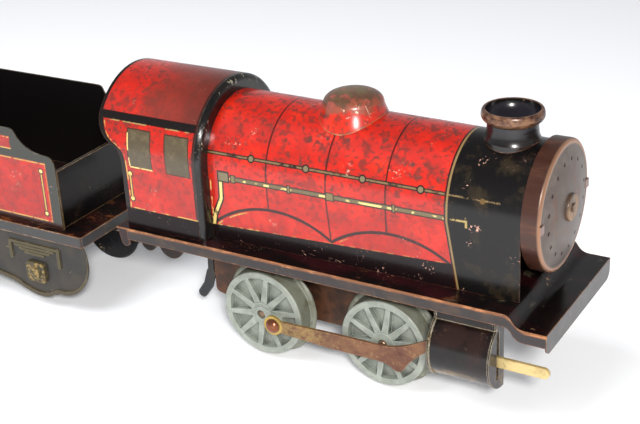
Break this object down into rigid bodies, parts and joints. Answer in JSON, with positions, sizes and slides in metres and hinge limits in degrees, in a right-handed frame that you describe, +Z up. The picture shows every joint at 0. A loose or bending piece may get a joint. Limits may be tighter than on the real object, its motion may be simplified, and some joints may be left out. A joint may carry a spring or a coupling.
{
  "type": "model train",
  "caption": "Tinplate clockwork toy locomotive with a coupled four-wheeled tender, driven by a spring motor through a gear train.",
  "frame": {"origin": "on the running surface, below the middle of the train's overall length", "axes": "+X forward towards the smokebox door, +Y to the train's left, +Z up"},
  "size_m": [0.2726, 0.0602, 0.09],
  "materials": {
    "litho_red": "lithographed tinplate, worn",
    "footplate_black": "gloss enamel, worn edges",
    "collar_black": "gloss enamel",
    "door_brown": "worn enamel over steel",
    "dome_red": "worn enamel",
    "cylinder_black": "gloss enamel",
    "motor_steel": "oxidised steel",
    "wheel_zinc": "dull cast zinc",
    "rod_steel": "rusted strip",
    "steel_bright": "turned steel",
    "spring_steel": "blued spring strip",
    "gear_brass": "stamped brass",
    "coupling_black": "blackened strip",
    "tender_red": "lithographed tinplate, worn",
    "tender_black": "gloss enamel, worn edges",
    "frame_grey": "lithographed pressed frame",
    "wheel_black": "enamelled disc"
  },
  "bodies": {
    "loco": {"footplate": "footplate_black", "boiler_shell": "litho_red", "smokebox_door": "door_brown", "chimney": "collar_black", "dome": "dome_red", "cab_shell": "litho_red", "cab_front": "collar_black", "motor_pillars": "steel_bright", "pillar_screws": "steel_bright", "footplate_screws": "steel_bright", "mainspring": "spring_steel", "drag_bracket": "coupling_black", "loco_drawbar_pin": "steel_bright", "motor_plate_right": "motor_steel", "motor_plate_left": "motor_steel", "cylinder_right": "cylinder_black", "cylinder_left": "cylinder_black"},
    "rear_wheelset": {"rear_axle": "steel_bright", "axle_pinion": "steel_bright", "rear_wheel_right": "wheel_zinc", "rear_wheel_left": "wheel_zinc", "crank_pin_right": "rod_steel", "crank_pin_left": "rod_steel"},
    "front_wheelset": {"front_axle": "steel_bright", "front_wheel_right": "wheel_zinc", "front_wheel_left": "wheel_zinc"},
    "rod_right": {"rod_right": "rod_steel"},
    "rod_left": {"rod_left": "rod_steel"},
    "mid_gears": {"mid_arbor": "steel_bright", "mid_wheel": "gear_brass", "mid_pinion": "steel_bright"},
    "great_gear": {"great_wheel": "gear_brass", "click_pin": "steel_bright"},
    "winder": {"winding_arbor": "steel_bright", "ratchet_wheel": "steel_bright"},
    "click": {"click": "steel_bright"},
    "brake": {"brake_lever": "coupling_black"},
    "drawbar": {"drawbar": "coupling_black"},
    "tender": {"tender_base": "tender_black", "tender_body": "tender_red", "tender_panel": "tender_black", "tender_front_bracket": "coupling_black", "tender_rear_bracket": "coupling_black", "tender_drawbar_pin": "steel_bright", "tender_hook_pin": "steel_bright", "tender_frame_right": "frame_grey", "tender_frame_left": "frame_grey"},
    "tender_front_wheelset": {"tender_axle_front": "steel_bright", "tender_wheel_front_right": "wheel_black", "tender_wheel_front_left": "wheel_black"},
    "tender_rear_wheelset": {"tender_axle_rear": "steel_bright", "tender_wheel_rear_right": "wheel_black", "tender_wheel_rear_left": "wheel_black"},
    "rear_hook": {"rear_hook": "coupling_black"}
  },
  "joints": [
    {"name": "rear_axle_spin", "type": "hinge", "parent": "loco", "child": "rear_wheelset", "pos_m": [0.03855, 0, 0.0163], "axis": [0, 1, 0], "continuous": true},
    {"name": "front_axle_spin", "type": "hinge", "parent": "loco", "child": "front_wheelset", "pos_m": [0.08205, 0, 0.0163], "axis": [0, 1, 0], "continuous": true},
    {"name": "rod_right_crank", "type": "hinge", "parent": "rear_wheelset", "child": "rod_right", "pos_m": [0.04391, -0.0236, 0.0144], "axis": [0, 1, 0], "continuous": true},
    {"name": "rod_left_crank", "type": "hinge", "parent": "rear_wheelset", "child": "rod_left", "pos_m": [0.04045, 0.0236, 0.02166], "axis": [0, 1, 0], "continuous": true},
    {"name": "mid_gear_spin", "type": "hinge", "parent": "loco", "child": "mid_gears", "pos_m": [0.04208, 0, 0.03344], "axis": [0, 1, 0], "continuous": true},
    {"name": "great_gear_spin", "type": "hinge", "parent": "loco", "child": "great_gear", "pos_m": [0.0623, 0, 0.046], "axis": [0, 1, 0], "continuous": true},
    {"name": "winding", "type": "hinge", "parent": "great_gear", "child": "winder", "pos_m": [0.0623, 0, 0.046], "axis": [0, 1, 0], "continuous": true},
    {"name": "click_lift", "type": "hinge", "parent": "great_gear", "child": "click", "pos_m": [0.0651, -0.0069, 0.0556], "axis": [0, 1, 0], "range_deg": [0, 14]},
    {"name": "brake_swing", "type": "hinge", "parent": "loco", "child": "brake", "pos_m": [0.0183, -0.0081, 0.03], "axis": [0, 1, 0], "range_deg": [-6, 10]},
    {"name": "drawbar_swing", "type": "hinge", "parent": "loco", "child": "drawbar", "pos_m": [-0.0057, 0, 0.0234], "axis": [0, 0, 1], "range_deg": [-12, 12]},
    {"name": "tender_swing", "type": "hinge", "parent": "drawbar", "child": "tender", "pos_m": [-0.0357, 0, 0.0234], "axis": [0, 0, 1], "range_deg": [-12, 12]},
    {"name": "tender_front_spin", "type": "hinge", "parent": "tender", "child": "tender_front_wheelset", "pos_m": [-0.0527, 0, 0.0128], "axis": [0, 1, 0], "continuous": true},
    {"name": "tender_rear_spin", "type": "hinge", "parent": "tender", "child": "tender_rear_wheelset", "pos_m": [-0.1027, 0, 0.0128], "axis": [0, 1, 0], "continuous": true},
    {"name": "rear_hook_swing", "type": "hinge", "parent": "tender", "child": "rear_hook", "pos_m": [-0.1263, 0, 0.0234], "axis": [0, 0, 1], "range_deg": [-30, 30]}
  ],
  "couplings": [
    {"joint": "rod_right_crank", "follows": "rear_axle_spin", "ratio": -1},
    {"joint": "rod_left_crank", "follows": "rear_axle_spin", "ratio": -1},
    {"joint": "mid_gear_spin", "follows": "rear_axle_spin", "ratio": -0.38889},
    {"joint": "great_gear_spin", "follows": "rear_axle_spin", "ratio": 0.083333}
  ]
}
